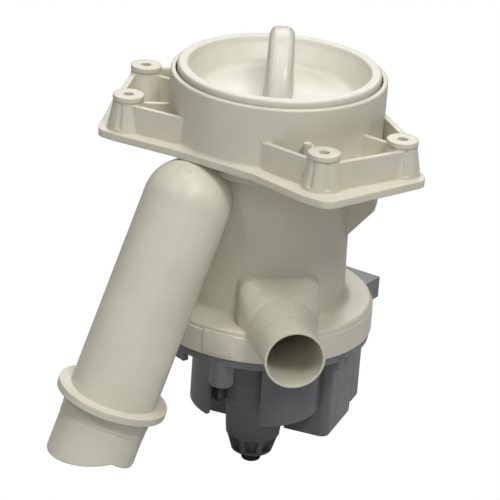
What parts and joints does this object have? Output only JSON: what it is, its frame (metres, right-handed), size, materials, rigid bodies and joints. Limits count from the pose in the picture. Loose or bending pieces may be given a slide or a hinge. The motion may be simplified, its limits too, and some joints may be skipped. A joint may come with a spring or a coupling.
{
  "type": "washer drain pump",
  "caption": "Drain pump for a washing machine: screw-in filter cap in a collar, flange with bosses, slanted inlet pipe, side outlet spigot and a motor below.",
  "frame": {"origin": "on the pump axis, level with the tops of the mounting bosses", "axes": "+Z along the pump axis towards the filter cap, +X along the mounting flange towards the side of the outlet spigot"},
  "size_m": [0.1489, 0.1725, 0.1958],
  "materials": {
    "cream_plastic": "satin",
    "cap_plastic": "satin",
    "filter_plastic": "satin",
    "bobbin_plastic": "matte",
    "motor_plastic": "satin",
    "seal_rubber": "matte",
    "plug_rubber": "matte",
    "mount_rubber": "matte",
    "core_steel": "brushed",
    "winding_wire": "satin",
    "terminal_brass": "satin",
    "sintered_bush": "matte",
    "ferrite_magnet": "matte",
    "shaft_steel": "polished",
    "washer_plastic": "matte",
    "dog_metal": "satin",
    "impeller_plastic": "satin"
  },
  "bodies": {
    "housing": {"pump_housing": "cream_plastic", "inlet_elbow": "cream_plastic", "motor_seal": "seal_rubber", "motor_flange": "motor_plastic", "motor_shell": "motor_plastic", "rear_cap": "motor_plastic", "end_plug": "plug_rubber", "stator_core": "core_steel", "coil_bobbin": "bobbin_plastic", "coil_winding": "winding_wire", "terminal_blades": "terminal_brass", "bearing_holder": "motor_plastic", "front_bearing": "sintered_bush", "front_bearing_mount": "mount_rubber", "rear_bearing": "sintered_bush", "rear_bearing_mount": "mount_rubber"},
    "filter": {"lint_filter": "filter_plastic"},
    "cap_seal": {"cap_gasket": "seal_rubber"},
    "cap": {"filter_cap": "cap_plastic"},
    "rotor": {"rotor_shaft": "shaft_steel", "rotor_magnet": "ferrite_magnet", "rotor_end_caps": "bobbin_plastic", "thrust_washers": "washer_plastic", "drive_dog": "dog_metal"},
    "impeller": {"impeller": "impeller_plastic", "impeller_lid": "impeller_plastic"}
  },
  "joints": [
    {"name": "filter_pull", "type": "slide", "parent": "housing", "child": "filter", "axis": [0, 0, 1], "range_m": [0, 0.085]},
    {"name": "cap_rise", "type": "slide", "parent": "filter", "child": "cap_seal", "axis": [0, 0, 1], "range_m": [0, 0.0121]},
    {"name": "cap_turn", "type": "hinge", "parent": "cap_seal", "child": "cap", "pos_m": [0, 0, 0], "axis": [0, 0, 1], "range_deg": [0, 720]},
    {"name": "rotor_spin", "type": "hinge", "parent": "housing", "child": "rotor", "pos_m": [0, 0, -0.1], "axis": [0, 0, 1], "continuous": true},
    {"name": "impeller_slip", "type": "hinge", "parent": "rotor", "child": "impeller", "pos_m": [0, 0, -0.09], "axis": [0, 0, 1], "range_deg": [0, 256]}
  ],
  "couplings": [
    {"joint": "cap_rise", "follows": "cap_turn", "m_per_rad": 0.00095493}
  ]
}
